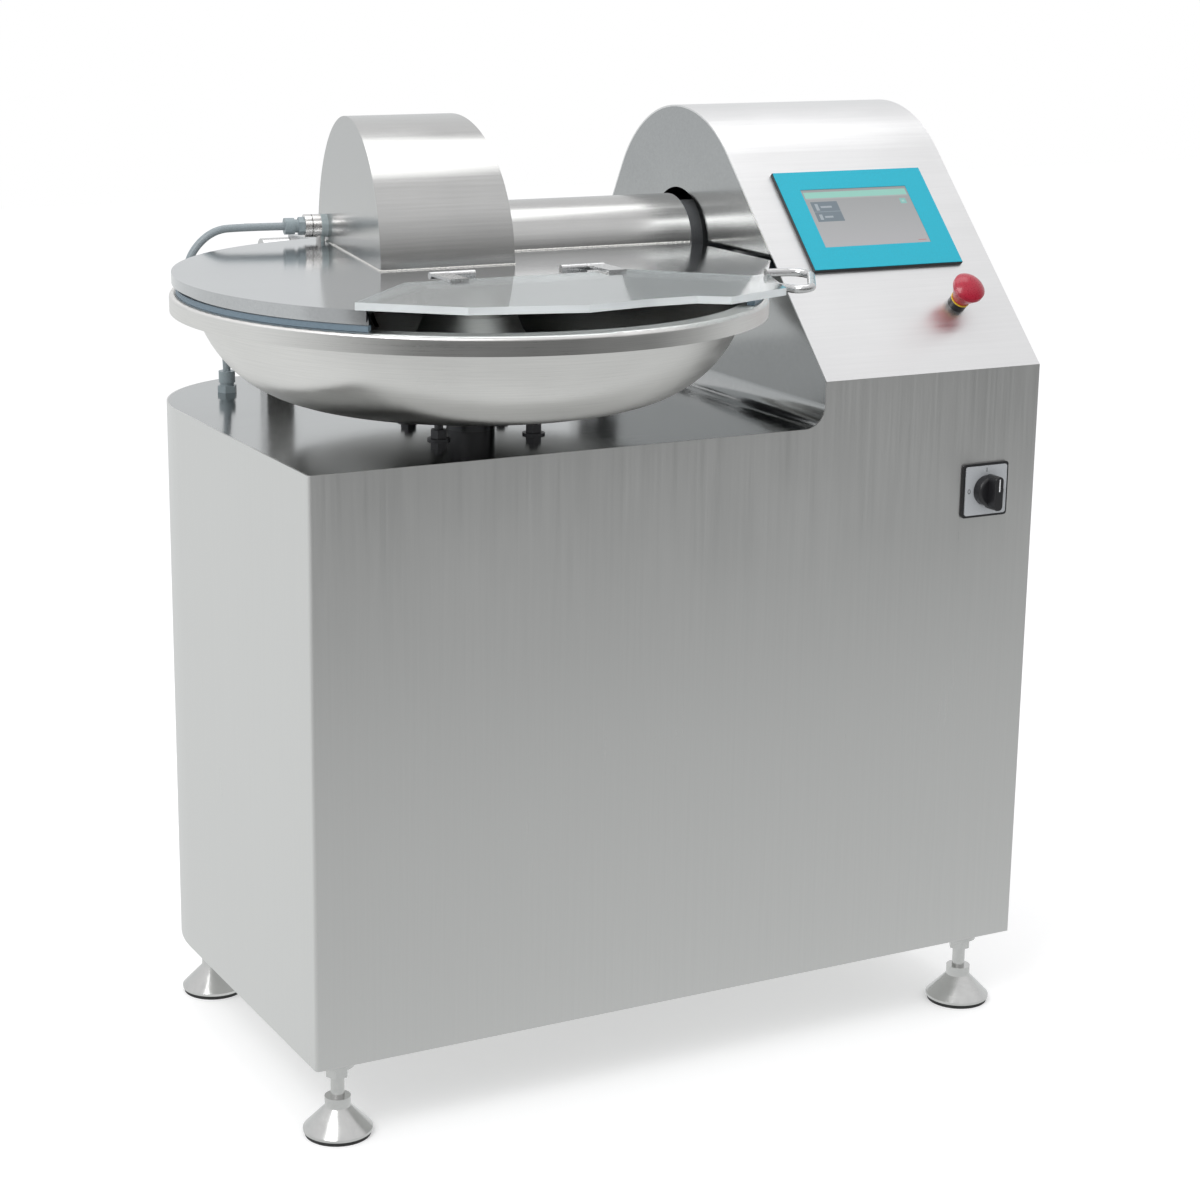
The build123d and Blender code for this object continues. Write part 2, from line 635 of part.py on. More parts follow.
motor = bar(motor_back, motor_face, shaft_y, motor_z, motor_radius)
motor += bar(motor_back - 40, motor_back, shaft_y, motor_z, motor_radius - 8)
motor += block(motor_back + 30, motor_face - 30, shaft_y - 60, shaft_y + 60,
               motor_z + motor_radius - 10, motor_z + motor_radius + 40)
motor += block(motor_back + 30, motor_face - 30, shaft_y - 90, shaft_y + 90,
               motor_z - motor_radius - 12, motor_z - motor_radius + 20)
motor -= bar(motor_face - 21, motor_face + 1, shaft_y, motor_z, motor_shaft + clearance)
save("knife_motor", motor)

shelf_top = motor_z - motor_radius - 12
shelf = block(motor_back, motor_face, shaft_y - 120, rear_foot_y - tube / 2, shelf_top - 10, shelf_top)
for side in (0, 1):
    leg_x = motor_back + side * (motor_face - motor_back - 12)
    shelf += block(leg_x, leg_x + 12, shaft_y - 120, shaft_y + 100, frame_bottom + sheet, shelf_top - 10)
save("motor_shelf", shelf)

# ---- Lid: plate, skirt and seal ----
def on_circle(radius, degrees):
    """A point round the bowl's axis."""
    turn = math.radians(degrees)
    return bowl_x + radius * math.cos(turn), bowl_y + radius * math.sin(turn)


plate_underside = lid_top - lid_plate_thickness
lid_back = hinge_y - 18
lid_side = 200.0             # left edge of the plate behind the bowl
plate_reach = make_face(Polyline((bowl_x, bowl_y), on_circle(lid_radius, -34), (lid_right, 108),
                                 (lid_right, lid_back), (lid_side, lid_back), close=True))
lid_plan = plate_reach + Pos(bowl_x, bowl_y) * Circle(lid_radius)
plate = upright(lid_plan, plate_underside, lid_top)
feed_back = 28.0             # rear edge of the feed opening
feed_left, feed_right = 150.0, 392.0
outside = lid_radius + 60
feed_opening = make_face(Polyline(
    on_circle(lid_radius, opening_from), (feed_left, feed_back), (feed_right, feed_back),
    on_circle(lid_radius, opening_to), on_circle(outside, opening_to),
    on_circle(outside * 1.3, (opening_from + opening_to) / 2), on_circle(outside, opening_from),
    close=True))
plate -= upright(feed_opening, plate_underside - 1, lid_top + 1)
skew = math.tan(math.radians(hood_skew))
hood_front = shaft_y - hood_radius


def hood_plan(inset, front, back):
    """The hood's plan between two y values, with its turned left wall, shrunk by inset at the sides."""
    left_front = hood_left + (front - hood_front) * skew + inset
    left_back = hood_left + (back - hood_front) * skew + inset
    right = hood_right - inset
    return make_face(Polyline((left_front, front), (right, front), (right, back), (left_back, back),
                              close=True))


hood_wall = 3.0
plate -= upright(hood_plan(2 * hood_wall, shaft_y - knife_bay, shaft_y + knife_bay),
                 plate_underside - 1, lid_top + 1)
shaft_room = shaft_radius + 6
nose_room = nose_radius + 3
plate -= block(hood_right - 3 * hood_wall, lid_right + 1, shaft_y - shaft_room, shaft_y + shaft_room,
               plate_underside - 1, lid_top + 1)
plate -= block(nose_start - 12, lid_right + 1, shaft_y - nose_room, shaft_y + nose_room,
               plate_underside - 1, lid_top + 1)


def lid_ring(inner, outer, z0, z1):
    """A band round the bowl under the lid plate, open at the feed opening and at the knife shaft."""
    plan = Pos(bowl_x, bowl_y) * (Circle(outer) - Circle(inner))
    wedge = make_face(Polyline((bowl_x, bowl_y), on_circle(outside * 1.5, opening_from),
                               on_circle(outside * 1.5, (opening_from + opening_to) / 2),
                               on_circle(outside * 1.5, opening_to), close=True))
    band = upright(plan - wedge, z0, z1)
    return band - block(bowl_x, lid_right, shaft_y - shaft_room, shaft_y + shaft_room, z0 - 1, z1 + 1)


edge_wall, edge_depth = 3.0, 12.0    # turned-down edge of the plate
plate += lid_ring(lid_radius - edge_wall, lid_radius, lid_top - edge_depth, plate_underside)
save("lid_plate", plate)
skirt_wall = 3.0
save("lid_skirt", lid_ring(skirt_radius - skirt_wall, skirt_radius, skirt_bottom, plate_underside))
save("lid_seal", lid_ring(skirt_radius - 6, skirt_radius + 2.5, seal_bottom, skirt_bottom))

# ---- Knife hood and shaft cover ----
hood_back = shaft_y + hood_radius
half_space = block(0, cabinet_width, 0, cabinet_depth, lid_top, lid_top + 2 * hood_radius)
hood = bar(hood_left - 20, hood_right, shaft_y, shaft_z, hood_radius) & half_space
hood = hood & upright(hood_plan(0, hood_front - 1, hood_back + 1), lid_top, lid_top + 2 * hood_radius)
hollow = bar(hood_left - 20, hood_right, shaft_y, shaft_z, hood_radius - hood_wall)
hollow = hollow & upright(hood_plan(hood_wall, hood_front, hood_back), lid_top - 1,
                          lid_top + 2 * hood_radius)
hood -= hollow
cover_wall = 2.5
hood -= bar(hood_right - 2 * hood_wall, hood_right + 1, shaft_y, shaft_z, cover_radius - 2 * cover_wall)
save("knife_hood", hood)
cover = bar(hood_right, lid_right + 2, shaft_y, shaft_z, cover_radius)
cover -= bar(hood_right - 1, lid_right + 3, shaft_y, shaft_z, cover_radius - cover_wall)
save("shaft_cover", cover & half_space)

# ---- Sensor on the hood's left wall, and its cable ----
wall_x = hood_left + (sensor_y - hood_front) * skew
outward = (-math.cos(math.radians(hood_skew)), math.sin(math.radians(hood_skew)), 0)
sensor_plane = Plane(origin=(wall_x, sensor_y, sensor_z), x_dir=(0, 0, 1), z_dir=outward)


def on_sensor(z0, z1, shape_radius):
    """A round bar on the sensor's axis, between two distances from the hood's wall."""
    return sensor_plane.location * Pos(0, 0, (z0 + z1) / 2) * Cylinder(shape_radius, z1 - z0)


socket = on_sensor(0, sensor_length, sensor_radius) - on_sensor(sensor_length - 6, sensor_length + 1, 8)
socket += post(wall_x - 8, sensor_y, lid_top, sensor_z, 5.5)
save("sensor_socket", socket)
gland = on_sensor(sensor_length - 6, sensor_length, 8)
gland += sensor_plane.location * Pos(0, 0, sensor_length) * extrude(
    RegularPolygon(gland_radius - 1, 6, major_radius=False), 7)
gland += on_sensor(sensor_length + 7, sensor_length + gland_length - 8, gland_radius - 2.5)
gland += on_sensor(sensor_length + gland_length - 12, sensor_length + gland_length, gland_radius - 0.5)
tail_start = sensor_length + gland_length
gland += on_sensor(tail_start - 2, tail_start + cable_tail, cable_radius)
save("sensor_gland", gland)
deck_gland = hexagon(deck_gland_x, deck_gland_y, deck_top, deck_top + 8, 2 * gland_radius)
deck_gland += post(deck_gland_x, deck_gland_y, deck_top - 14, deck_gland_top - 12, gland_radius - 2)
deck_gland += post(deck_gland_x, deck_gland_y, deck_top + 12, deck_gland_top, gland_radius - 0.5)
save("deck_gland", deck_gland)


def from_socket(distance):
    """A point on the sensor's axis, that far out of the hood's wall."""
    return wall_x + outward[0] * distance, sensor_y + outward[1] * distance, sensor_z


cable_start = tail_start + cable_tail + 3 * clearance     # its end face is tilted to the tail's
cable_route = [from_socket(cable_start), (77.6, 489.5, 977.1), (46.5, 494.2, 942.1),
               (49.9, 497.5, 895.5), (deck_gland_x, deck_gland_y, 855.5),
               (deck_gland_x, deck_gland_y, deck_gland_top)]


def bend_radii(route):
    """A cord's bend radius at each inner point: as large as the two runs beside it allow."""
    radii = []
    for before, here, after in zip(route, route[1:], route[2:]):
        run_in, run_out = Vector(*here) - Vector(*before), Vector(*after) - Vector(*here)
        half_turn = math.radians(run_in.get_angle(run_out)) / 2
        radii.append(0.45 * min(run_in.length, run_out.length) / math.tan(half_turn))
    return radii


radii = bend_radii(cable_route)
print("cable bend radii", [round(radius) for radius in radii])
cable_line = FilletPolyline(*cable_route, radius=radii)
cable = sweep(cable_line.location_at(0) * Circle(cable_radius), path=cable_line)
print("cable length", round(cable_line.length, 1), "volume over section times length",
      round(cable.volume / (math.pi * cable_radius**2 * cable_line.length), 4))
save("sensor_cable", cable)

# ---- Lid hinge: a post on the deck, a bracket on the console's side, and an arm beside each ----
arm_width = 12.0


def hinge_bar(x0, x1, radius):
    """A round bar on the lid hinge's axis."""
    return bar(x0, x1, hinge_y, hinge_z, radius)


def lid_arm(x0):
    """An arm under the lid plate, with its eye on the hinge's axis."""
    arm = hinge_bar(x0, x0 + arm_width, hinge_eye)
    arm += block(x0, x0 + arm_width, lid_back - 40, hinge_y, hinge_z - 6, plate_underside)
    return arm - hinge_bar(x0 - 1, x0 + arm_width + 1, hinge_pin_radius + 0.05)


post_left, post_right = 171.0, 207.0
stand = block(post_left, post_right, hinge_y - hinge_eye, hinge_y + hinge_eye, deck_top, hinge_z)
stand += hinge_bar(post_left, post_right, hinge_eye)
stand += block(post_left - 12, post_right + 12, hinge_y - 22, hinge_y + 22, deck_top, deck_top + 8)
mount_left = 614.3
mount = block(mount_left, console_left, hinge_y - hinge_eye, hinge_y + hinge_eye, brow_back, hinge_z)
mount += hinge_bar(mount_left, console_left - 4, hinge_eye)
mount += block(console_left - 8, console_left, hinge_y - 28, hinge_y + 24, brow_back - 20,
               brow_back + 16)
pin_hole = hinge_bar(post_left - 10, console_left - 10, hinge_pin_radius)
save("lid_brackets", stand - pin_hole, mount - pin_hole)
right_arm = mount_left - clearance - arm_width
save("lid_arms", lid_arm(post_right + clearance), lid_arm(right_arm))
save("lid_pins", hinge_bar(post_left - 3, post_right + clearance + arm_width + 3, hinge_pin_radius),
     hinge_bar(right_arm - 3, console_left - 10, hinge_pin_radius))

# ---- Feed flap, its hinges and handle ----
flap_bottom = lid_top + clearance
flap_top = flap_bottom + flap_thickness
flap = upright(make_face(Polyline(*flap_outline, close=True)), flap_bottom, flap_top)
save("feed_flap", flap)
knuckle_radius = 4.0
leaf_thickness = 3.0
strap_width, barrel_length = 22.0, 32.0
flap_pin_radius = 1.95


def flap_bar(x0, x1, radius):
    """A round bar on the flap hinge's axis, level with the flap's top."""
    return bar(min(x0, x1), max(x0, x1), flap_hinge_y, flap_top, radius)


straps, leaves, flap_pins = [], [], []
for hinge_x, side in zip(flap_hinges, (1, -1)):
    strap_start = hinge_x - side * strap_width / 2
    strap_end = hinge_x + side * strap_width / 2
    barrel_start = strap_end + side * clearance
    barrel_end = barrel_start + side * barrel_length
    low, high = min(strap_start, strap_end), max(strap_start, strap_end)
    strap = block(low, high, 30, flap_hinge_y, flap_top, flap_top + leaf_thickness)
    strap += flap_bar(strap_start, strap_end, knuckle_radius)
    low, high = min(barrel_start, barrel_end), max(barrel_start, barrel_end)
    leaf = flap_bar(barrel_start, barrel_end, knuckle_radius)
    leaf += block(low, high, flap_hinge_y - 3.5, flap_hinge_y + 3.5, lid_top, flap_top)
    pin = flap_bar(strap_start, barrel_end, flap_pin_radius)
    straps.append(strap - flap_bar(strap_start - side, strap_end + side, flap_pin_radius + 0.05))
    leaves.append(leaf - pin)
    flap_pins.append(pin)
save("flap_straps", *straps)
save("flap_leaves", *leaves)
save("flap_pins", *flap_pins)

handle_mid = flap_bottom + flap_thickness / 2
handle_route = [(520, -58, flap_top + handle_radius - 1), (576, -62, 971), (512, -166, 966),
                (503, -112, handle_mid)]
handle_line = FilletPolyline(*handle_route, radius=[18, 11])
handle = sweep(handle_line.location_at(0) * Circle(handle_radius), path=handle_line)
handle -= flap
save("flap_handle", handle)

# ---- Touch screen ----
housing_lip = 4.6
face_top = housing_lip + bezel_thickness
housing = tile(bezel_width, bezel_height, 0, housing_lip)
housing += tile(hole_width - 2 * clearance, hole_height - 2 * clearance, -housing_depth, 0)
bezel = tile(bezel_width - 1, bezel_height - 1, housing_lip, face_top)
window = Pos(-2, 2.5, 0) * tile(glass_width, glass_height, housing_lip - 1.2, face_top + 1)
glass = Pos(-2, 2.5, 0) * tile(glass_width, glass_height, housing_lip - 1.2, housing_lip + 0.2)
save("screen_housing", on_slope(screen_x, screen_rise, housing - window))
save("screen_bezel", on_slope(screen_x, screen_rise, bezel - window))
save("screen_glass", on_slope(screen_x, screen_rise, glass))

# ---- Emergency stop, pressed in and latched ----
stop_stem = 5.0
collar = stud(stop_collar, 0, stop_height) + stud(stop_neck, -4, 0) + tile(30, 30, -40, -4)
collar -= stud(stop_stem + clearance, -20, stop_height + 1)
ring_top = stop_height + 1.5
ring = stud(stop_collar + 0.5, stop_height, ring_top) - stud(stop_stem + clearance, 0, ring_top + 1)
head_low = ring_top + clearance
rim_height = ring_top + 24
dome_height = 9.0
dome_ball = (stop_radius**2 + dome_height**2) / (2 * dome_height)
dome_side = 0.5 * stop_radius
dome_point = (dome_side, rim_height + dome_height - dome_ball + math.sqrt(dome_ball**2 - dome_side**2))
head_section = make_face([
    Line((0, -8), (stop_stem, -8)),
    Line((stop_stem, -8), (stop_stem, head_low)),
    Line((stop_stem, head_low), (stop_collar - 0.5, head_low)),
    Line((stop_collar - 0.5, head_low), (stop_collar + 0.5, ring_top + 4)),
    Line((stop_collar + 0.5, ring_top + 4), (stop_radius, ring_top + 19)),
    Line((stop_radius, ring_top + 19), (stop_radius, rim_height)),
    ThreePointArc((stop_radius, rim_height), dome_point, (0, rim_height + dome_height)),
    Line((0, rim_height + dome_height), (0, -8)),
])
head = revolve(Plane.XZ * head_section, Axis.Z)
save("stop_collar", on_slope(stop_x, stop_rise, collar))
save("stop_ring", on_slope(stop_x, stop_rise, ring))
save("stop_head", on_slope(stop_x, stop_rise, head))

# ---- Main switch ----
face_front = Pos(switch_x, 0, switch_z) * Rot(90, 0, 0)
switch_plate = tile(switch_width, switch_width, 0, 3)
switch_base = fillet(switch_plate.edges().filter_by(Axis.Z), 4) + stud(switch_neck, -6, 0)
switch_base += tile(46, 46, -20, -sheet - clearance)
switch_base -= stud(4 + clearance, -20, 4)
dial_plate = tile(switch_width - 6, switch_width - 6, 3, 4.5)
dial = fillet(dial_plate.edges().filter_by(Axis.Z), 3) - stud(4 + clearance, 0, 6)
knob_low = 4.5 + clearance
disc = stud(18.5, knob_low, knob_low + 13)
disc = fillet(disc.edges().filter_by(GeomType.CIRCLE).sort_by(Axis.Z)[-1], 4)
grip = tile(12, 42, knob_low + 6, knob_low + 27)
grip = fillet(grip.edges().filter_by(Axis.Z), 5.5)
grip = fillet(grip.faces().sort_by(Axis.Z)[-1].edges(), 1.5)
knob = disc + grip + stud(4, -10, knob_low)
save("switch_base", face_front * switch_base)
save("switch_dial", face_front * dial)
save("switch_knob", face_front * knob)
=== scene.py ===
# %% [markdown]
# # Meat bowl cutter
#
# A stainless steel bowl turns slowly under a hinged lid while curved knives spin inside the hood.
# The machine's exact solids are loaded as a frame. Each section below gives them a material
# or adds the small pieces that make them look real: weld beads, dial marks, the screen's
# picture and the cable. Everything is in metres, with +Z up and the floor at z = 0.

# %% Load the frame
import math

import bpy
import numpy as np
from mathutils import Matrix, Vector


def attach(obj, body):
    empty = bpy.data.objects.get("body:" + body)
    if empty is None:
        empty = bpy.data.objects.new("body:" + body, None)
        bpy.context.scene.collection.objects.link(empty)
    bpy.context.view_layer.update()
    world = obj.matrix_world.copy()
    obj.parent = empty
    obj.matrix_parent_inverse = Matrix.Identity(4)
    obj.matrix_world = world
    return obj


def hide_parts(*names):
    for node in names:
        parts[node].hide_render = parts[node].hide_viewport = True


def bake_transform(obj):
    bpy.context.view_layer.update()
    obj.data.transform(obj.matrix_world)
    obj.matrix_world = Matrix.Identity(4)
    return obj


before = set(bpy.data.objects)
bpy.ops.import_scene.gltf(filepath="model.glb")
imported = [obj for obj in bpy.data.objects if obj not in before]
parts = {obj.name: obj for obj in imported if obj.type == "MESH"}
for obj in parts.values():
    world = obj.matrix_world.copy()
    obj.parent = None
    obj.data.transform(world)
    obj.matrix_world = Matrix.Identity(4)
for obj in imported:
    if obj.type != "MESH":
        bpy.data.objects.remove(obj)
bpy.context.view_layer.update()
scene = bpy.context.scene
print(len(parts), "solids loaded")

# %% [markdown]
# The solids were drawn from the cabinet's left wall, front panel and floor, in millimetres.
# `at` turns such a point into the frame's metres, so that numbers below read like the drawing.

# %% Coordinates and named places
MIDDLE_X, MIDDLE_Y = 441.0, 210.0
SLOPE = math.radians(45.57)
LID_TOP = 960.0
HOOD_LEFT, HOOD_RIGHT, HOOD_FRONT, HOOD_BACK = 168.0, 336.0, 190.0, 514.0
HOOD_TURN = math.radians(10.2)
HOOD_SKEW = math.tan(HOOD_TURN)
COVER_FRONT, COVER_BACK, COVER_RIGHT = 295.0, 409.0, 629.0
SENSOR_Y, SENSOR_Z, GLAND_END = 468.0, 979.0, 52.0


def at(x, y, z):
    """A point in millimetres from the cabinet's corner, as metres in the frame."""
    return Vector(((x - MIDDLE_X) / 1000, (y - MIDDLE_Y) / 1000, z / 1000))


def on_slope(x, rise, out):
    """A point on the console's sloping front: x across, rise up it, out off its surface."""
    y = rise * math.cos(SLOPE) - out * math.sin(SLOPE)
    z = 832.0 + rise * math.sin(SLOPE) + out * math.cos(SLOPE)
    return at(x, y, z)


bowl_axis = at(270, 170, 0)
print("bowl axis", tuple(round(v, 4) for v in bowl_axis))

# %% [markdown]
# ## Camera
#
# The camera stands to the left of the operator, a little above the lid, with a long lens
# so that the cabinet's upright edges stay nearly parallel.

# %% Camera
yaw, pitch, roll = math.radians(-28.51), math.radians(14.78), math.radians(0.84)
back = Vector((math.sin(yaw) * math.cos(pitch), -math.cos(yaw) * math.cos(pitch), math.sin(pitch)))
right = (-back).cross(Vector((0, 0, 1))).normalized()
up = right.cross(-back)
right_rolled = math.cos(roll) * right + math.sin(roll) * up
up_rolled = -math.sin(roll) * right + math.cos(roll) * up
camera_data = bpy.data.cameras.new("camera")
camera_data.lens = 79.16
camera_data.sensor_width = 36.0
camera = bpy.data.objects.new("camera", camera_data)
turn = Matrix((right_rolled, up_rolled, back)).transposed().to_4x4()
camera.matrix_world = Matrix.Translation((-1.4607, -2.7321, 1.3619)) @ turn
scene.collection.objects.link(camera)
scene.camera = camera
print("camera lens", camera_data.lens)

# %% [markdown]
# ## Materials
#
# Brushed steel is a metal whose roughness and height change quickly across the grain and
# slowly along it. Stretching a noise pattern along one axis gives the scratches, and a
# second, broad noise gives the cloudy patches left by hand finishing.
# The stretched highlight comes from the anisotropic setting, with its direction along the grain.

# %% Material helpers
def new_material(name):
    """An empty material with its node tree and surface shader."""
    material = bpy.data.materials.new(name)
    material.use_nodes = True
    return material, material.node_tree, material.node_tree.nodes["Principled BSDF"]


def add(tree, kind, **values):
    """A shader node with its named inputs or settings filled in."""
    node = tree.nodes.new(kind)
    for key, value in values.items():
        if key in node.inputs:
            node.inputs[key].default_value = value
        else:
            setattr(node, key, value)
    return node


def ramp(tree, source, low, high, low_value, high_value):
    """Stretches a value from low..high to low_value..high_value."""
    node = add(tree, "ShaderNodeMapRange")
    node.inputs["From Min"].default_value = low
    node.inputs["From Max"].default_value = high
    node.inputs["To Min"].default_value = low_value
    node.inputs["To Max"].default_value = high_value
    tree.links.new(source, node.inputs["Value"])
    return node.outputs["Result"]


def colours_of(sockets):
    """The colour sockets of a mix node, which also has sockets for other kinds of value."""
    return [socket for socket in sockets if socket.type == "RGBA"]


def grey_mix(tree, factor, dark, light):
    """A colour between two, by a factor from 0 to 1."""
    node = add(tree, "ShaderNodeMix", data_type="RGBA")
    first, second = colours_of(node.inputs)
    first.default_value = (*dark, 1)
    second.default_value = (*light, 1)
    tree.links.new(factor, node.inputs["Factor"])
    return colours_of(node.outputs)[0]


def brushed(name, light, rough, stretch, grain=(0, 0, 1), patch=4.0, spread=0.08, aniso=0.6, bump=0.05,
            contrast=0.88):
    """Brushed metal: stretch is the noise's scale along x, y and z in cycles per metre."""
    material, tree, shader = new_material(name)
    place = add(tree, "ShaderNodeTexCoord").outputs["Object"]
    mapping = add(tree, "ShaderNodeMapping", Scale=stretch)
    tree.links.new(place, mapping.inputs["Vector"])
    scratch = add(tree, "ShaderNodeTexNoise", Scale=1.0, Detail=5.0, Roughness=0.7)
    tree.links.new(mapping.outputs["Vector"], scratch.inputs["Vector"])
    cloud = add(tree, "ShaderNodeTexNoise", Scale=patch, Detail=3.0, Roughness=0.55)
    tree.links.new(place, cloud.inputs["Vector"])
    both = add(tree, "ShaderNodeMath", operation="MULTIPLY_ADD")
    both.inputs[1].default_value = 0.45
    tree.links.new(cloud.outputs["Fac"], both.inputs[0])
    half = add(tree, "ShaderNodeMath", operation="MULTIPLY")
    half.inputs[1].default_value = 0.55
    tree.links.new(scratch.outputs["Fac"], half.inputs[0])
    tree.links.new(half.outputs["Value"], both.inputs[2])
    dark = [v * contrast for v in light]
    colour = grey_mix(tree, ramp(tree, both.outputs["Value"], 0.35, 0.65, 0, 1), dark, light)
    tree.links.new(colour, shader.inputs["Base Color"])
    shader.inputs["Metallic"].default_value = 1.0
    tree.links.new(ramp(tree, both.outputs["Value"], 0.3, 0.7, rough - spread, rough + spread),
                   shader.inputs["Roughness"])
    shader.inputs["Anisotropic"].default_value = aniso
    tangent = add(tree, "ShaderNodeCombineXYZ", X=grain[0], Y=grain[1], Z=grain[2])
    tree.links.new(tangent.outputs["Vector"], shader.inputs["Tangent"])
    height = add(tree, "ShaderNodeBump", Strength=bump, Distance=0.0004)
    tree.links.new(scratch.outputs["Fac"], height.inputs["Height"])
    tree.links.new(height.outputs["Normal"], shader.inputs["Normal"])
    return material


def turned(name, light, rough, axis_point, aniso=0.7, rings=900.0, bump=0.04):
    """Metal turned on a lathe: the grain runs round a vertical axis."""
    material, tree, shader = new_material(name)
    place = add(tree, "ShaderNodeTexCoord").outputs["Object"]
    shift = add(tree, "ShaderNodeVectorMath", operation="SUBTRACT")
    shift.inputs[1].default_value = (axis_point[0], axis_point[1], 0)
    tree.links.new(place, shift.inputs[0])
    cross = add(tree, "ShaderNodeVectorMath", operation="CROSS_PRODUCT")
    cross.inputs[0].default_value = (0, 0, 1)
    tree.links.new(shift.outputs["Vector"], cross.inputs[1])
    tree.links.new(cross.outputs["Vector"], shader.inputs["Tangent"])
    split = add(tree, "ShaderNodeSeparateXYZ")
    tree.links.new(shift.outputs["Vector"], split.inputs["Vector"])
    flat = add(tree, "ShaderNodeCombineXYZ")
    tree.links.new(split.outputs["X"], flat.inputs["X"])
    tree.links.new(split.outputs["Y"], flat.inputs["Y"])
    reach = add(tree, "ShaderNodeVectorMath", operation="LENGTH")
    tree.links.new(flat.outputs["Vector"], reach.inputs[0])
    bearing = add(tree, "ShaderNodeMath", operation="ARCTAN2")
    tree.links.new(split.outputs["Y"], bearing.inputs[0])
    tree.links.new(split.outputs["X"], bearing.inputs[1])
    polar = add(tree, "ShaderNodeCombineXYZ")
    tree.links.new(reach.outputs["Value"], polar.inputs["X"])
    tree.links.new(split.outputs["Z"], polar.inputs["Y"])
    slow = add(tree, "ShaderNodeMath", operation="MULTIPLY")
    slow.inputs[1].default_value = 0.004
    tree.links.new(bearing.outputs["Value"], slow.inputs[0])
    tree.links.new(slow.outputs["Value"], polar.inputs["Z"])
    scratch = add(tree, "ShaderNodeTexNoise", Scale=rings, Detail=4.0, Roughness=0.7)
    tree.links.new(polar.outputs["Vector"], scratch.inputs["Vector"])
    cloud = add(tree, "ShaderNodeTexNoise", Scale=7.0, Detail=3.0)
    tree.links.new(place, cloud.inputs["Vector"])
    total = add(tree, "ShaderNodeMath", operation="ADD")
    tree.links.new(scratch.outputs["Fac"], total.inputs[0])
    tree.links.new(cloud.outputs["Fac"], total.inputs[1])
    colour = grey_mix(tree, ramp(tree, total.outputs["Value"], 0.75, 1.25, 0, 1),
                      [v * 0.86 for v in light], light)
    tree.links.new(colour, shader.inputs["Base Color"])
    tree.links.new(ramp(tree, total.outputs["Value"], 0.7, 1.3, rough - 0.06, rough + 0.06),
                   shader.inputs["Roughness"])
    shader.inputs["Metallic"].default_value = 1.0
    shader.inputs["Anisotropic"].default_value = aniso
    height = add(tree, "ShaderNodeBump", Strength=bump, Distance=0.0004)
    tree.links.new(scratch.outputs["Fac"], height.inputs["Height"])
    tree.links.new(height.outputs["Normal"], shader.inputs["Normal"])
    return material


def moulded(name, colour, rough, grain=900.0, bump=0.1, metallic=0.0, coat=0.0):
    """Moulded plastic, rubber or paint with a fine surface grain."""
    material, tree, shader = new_material(name)
    shader.inputs["Metallic"].default_value = metallic
    shader.inputs["Coat Weight"].default_value = coat
    place = add(tree, "ShaderNodeTexCoord").outputs["Object"]
    noise = add(tree, "ShaderNodeTexNoise", Scale=grain, Detail=3.0)
    tree.links.new(place, noise.inputs["Vector"])
    mixed = grey_mix(tree, ramp(tree, noise.outputs["Fac"], 0.3, 0.7, 0, 1),
                     [v * 0.9 for v in colour], [min(1.0, v * 1.08) for v in colour])
    tree.links.new(mixed, shader.inputs["Base Color"])
    tree.links.new(ramp(tree, noise.outputs["Fac"], 0.3, 0.7, rough - 0.05, rough + 0.05),
                   shader.inputs["Roughness"])
    height = add(tree, "ShaderNodeBump", Strength=bump, Distance=0.0002)
    tree.links.new(noise.outputs["Fac"], height.inputs["Height"])
    tree.links.new(height.outputs["Normal"], shader.inputs["Normal"])
    return material


print("helpers ready")

# %% [markdown]
# Each sheet has its grain in the direction it was rolled and polished: up the front panel,
# along the console's slope, round the bowl. The lid and deck are polished finer. The column
# under the bowl is painted near black, as painted shade for the dark space under the bowl.

# %% The machine's metals
panel = brushed("panel_steel", (0.71, 0.71, 0.70), 0.34, (260, 260, 5), (0, 0, 1), patch=3.0,
                contrast=0.94)
console = brushed("console_steel", (0.83, 0.83, 0.83), 0.36, (6, 320, 320), (1, 0, 0), patch=3.5,
                  contrast=0.94)
deck_steel = brushed("deck_steel", (0.46, 0.47, 0.47), 0.14, (8, 300, 300), (1, 0, 0), patch=5.0,
                     spread=0.04, aniso=0.4, bump=0.015)
lid_steel = brushed("lid_steel", (0.58, 0.59, 0.60), 0.12, (7, 300, 300), (1, 0, 0), patch=6.0,
                    spread=0.04, aniso=0.4, bump=0.02)
hood_steel = brushed("hood_steel", (0.58, 0.58, 0.57), 0.22, (6, 320, 320), (1, 0, 0), patch=8.0,
                     spread=0.06)
bowl_steel = turned("bowl_steel", (0.86, 0.85, 0.83), 0.33, bowl_axis)
fitting = brushed("fitting_steel", (0.66, 0.66, 0.66), 0.26, (150, 150, 150), patch=20.0, aniso=0.2)
cast_feet = brushed("foot_steel", (0.66, 0.66, 0.65), 0.22, (90, 90, 90), patch=30.0, aniso=0.2)
blade = brushed("blade_steel", (0.75, 0.75, 0.76), 0.16, (30, 700, 30), (0, 0, 1), patch=15.0)
# Painted shade: the column under the bowl and its bolts are given a near-black steel for the shadow and
# dark reflections there.
column_shade_steel = brushed("column_shade_steel", (0.10, 0.10, 0.105), 0.32, (90, 90, 9), patch=25.0, aniso=0.2)
weld_steel = brushed("weld_steel", (0.80, 0.79, 0.76), 0.22, (400, 400, 400), patch=60.0, aniso=0.0,
                     bump=0.2)
bearing = brushed("bearing_steel", (0.6, 0.6, 0.6), 0.12, (60, 60, 60), patch=30.0, aniso=0.0)
print("metals ready")

# %% [markdown]
# Paint, rubber and moulded plastic are not metals: their colour is in the base, and a fine
# grain in the roughness keeps their highlights soft.

